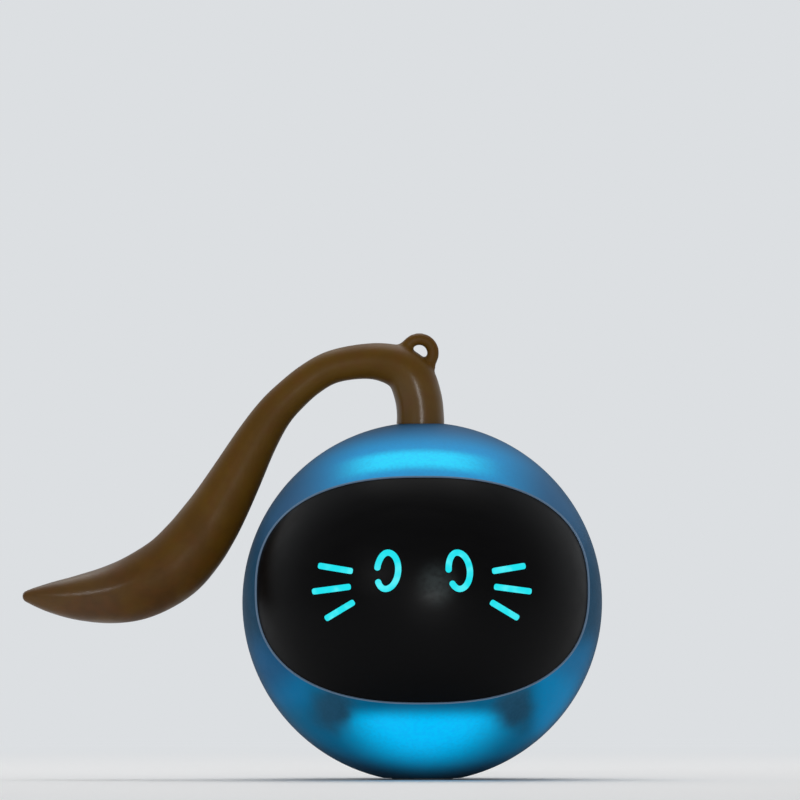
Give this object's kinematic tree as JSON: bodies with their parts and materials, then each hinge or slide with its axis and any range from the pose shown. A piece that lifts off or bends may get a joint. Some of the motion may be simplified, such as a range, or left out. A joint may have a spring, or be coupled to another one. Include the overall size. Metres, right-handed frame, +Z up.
{
  "type": "self-rolling cat ball",
  "caption": "Motorised ball toy for cats with a black lit-up cat face, a milky glowing shell, a geared eccentric weight inside and a curved brown tail that turns and pulls off.",
  "frame": {"origin": "centre of the underside of the foot pad, where the ball stands", "axes": "+Z up through the ball's centre and the tail's collar, -Y towards the face, +X to the right of someone who looks at the face, the side away from the tail"},
  "size_m": [0.1193, 0.0738, 0.092],
  "materials": {
    "milky_shell": "milky translucent plastic lit blue from inside, satin",
    "black_visor": "gloss black",
    "face_light": "clear light guide, lit cyan",
    "tail_rubber": "semi-gloss dark brown soft rubber",
    "foot_rubber": "matt",
    "white_plastic": "satin",
    "grey_plastic": "satin",
    "gear_plastic": "satin",
    "circuit_board": "solder mask",
    "led_package": "clear resin",
    "steel": "plated",
    "brass": "plain",
    "battery_wrap": "shrink wrap",
    "black_plastic": "satin",
    "red_lead": "insulation",
    "black_lead": "insulation"
  },
  "bodies": {
    "ball": {"front_shell": "milky_shell", "rear_shell": "milky_shell", "visor": "black_visor", "eye_light_left": "face_light", "eye_light_right": "face_light", "whisker_light_left": "face_light", "whisker_light_right": "face_light", "face_light_box": "white_plastic", "face_board": "circuit_board", "eye_led_left": "led_package", "eye_led_right": "led_package", "whisker_led_left": "led_package", "whisker_led_right": "led_package", "face_screw_upper": "steel", "face_screw_lower": "steel", "shell_screw_lower_left": "steel", "shell_screw_lower_right": "steel", "shell_screw_upper_left": "steel", "shell_screw_upper_right": "steel", "foot_pad": "foot_rubber", "ballast": "steel", "battery": "battery_wrap", "lower_frame": "grey_plastic", "motor_plate": "grey_plastic", "frame_screw_front_left": "steel", "frame_screw_front_right": "steel", "frame_screw_rear_left": "steel", "frame_screw_rear_right": "steel", "lower_bushing": "brass", "upper_bushing": "brass", "idler_axle": "steel", "motor_can": "steel", "motor_end_cap": "white_plastic", "top_deck": "grey_plastic", "upper_glow_board": "circuit_board", "upper_glow_led": "led_package", "lower_glow_board": "circuit_board", "lower_glow_led": "led_package", "control_board": "circuit_board", "board_screw_left": "steel", "board_screw_right": "steel", "motion_sensor": "brass", "usb_port": "steel", "button_switch": "black_plastic", "battery_lead_red": "red_lead", "battery_lead_black": "black_lead", "tail_collar": "black_plastic"},
    "rotor": {"rotor_weight": "steel", "rotor_gear": "gear_plastic", "rotor_shaft": "steel", "rotor_clip": "steel"},
    "idler": {"idler_gear": "gear_plastic"},
    "motor_spindle": {"motor_shaft": "steel", "motor_pinion": "brass"},
    "power_button": {"power_button": "white_plastic", "switch_plunger": "grey_plastic"},
    "tail_stem": {"tail_stem": "white_plastic"},
    "tail": {"tail": "tail_rubber"}
  },
  "joints": [
    {"name": "rotor_spin", "type": "hinge", "parent": "ball", "child": "rotor", "pos_m": [0, 0, 0.02444], "axis": [0, 0, 1], "continuous": true},
    {"name": "idler_spin", "type": "hinge", "parent": "ball", "child": "idler", "pos_m": [0.016, 0, 0.02944], "axis": [0, 0, 1], "continuous": true},
    {"name": "motor_spin", "type": "hinge", "parent": "ball", "child": "motor_spindle", "pos_m": [0.00695, 0.00634, 0.03144], "axis": [0, 0, 1], "continuous": true},
    {"name": "power_button_press", "type": "slide", "parent": "ball", "child": "power_button", "axis": [0, -1, 0], "range_m": [0, 0.0006], "stiffness_N_per_m": 600, "springref_m": -0.001},
    {"name": "tail_swivel", "type": "hinge", "parent": "ball", "child": "tail_stem", "pos_m": [0, 0, 0.07244], "axis": [0, 0, 1], "continuous": true},
    {"name": "tail_pull_off", "type": "slide", "parent": "tail_stem", "child": "tail", "axis": [0, 0, 1], "range_m": [0, 0.012]}
  ],
  "couplings": [
    {"joint": "idler_spin", "follows": "rotor_spin", "ratio": -3},
    {"joint": "motor_spin", "follows": "rotor_spin", "ratio": 7.2}
  ]
}
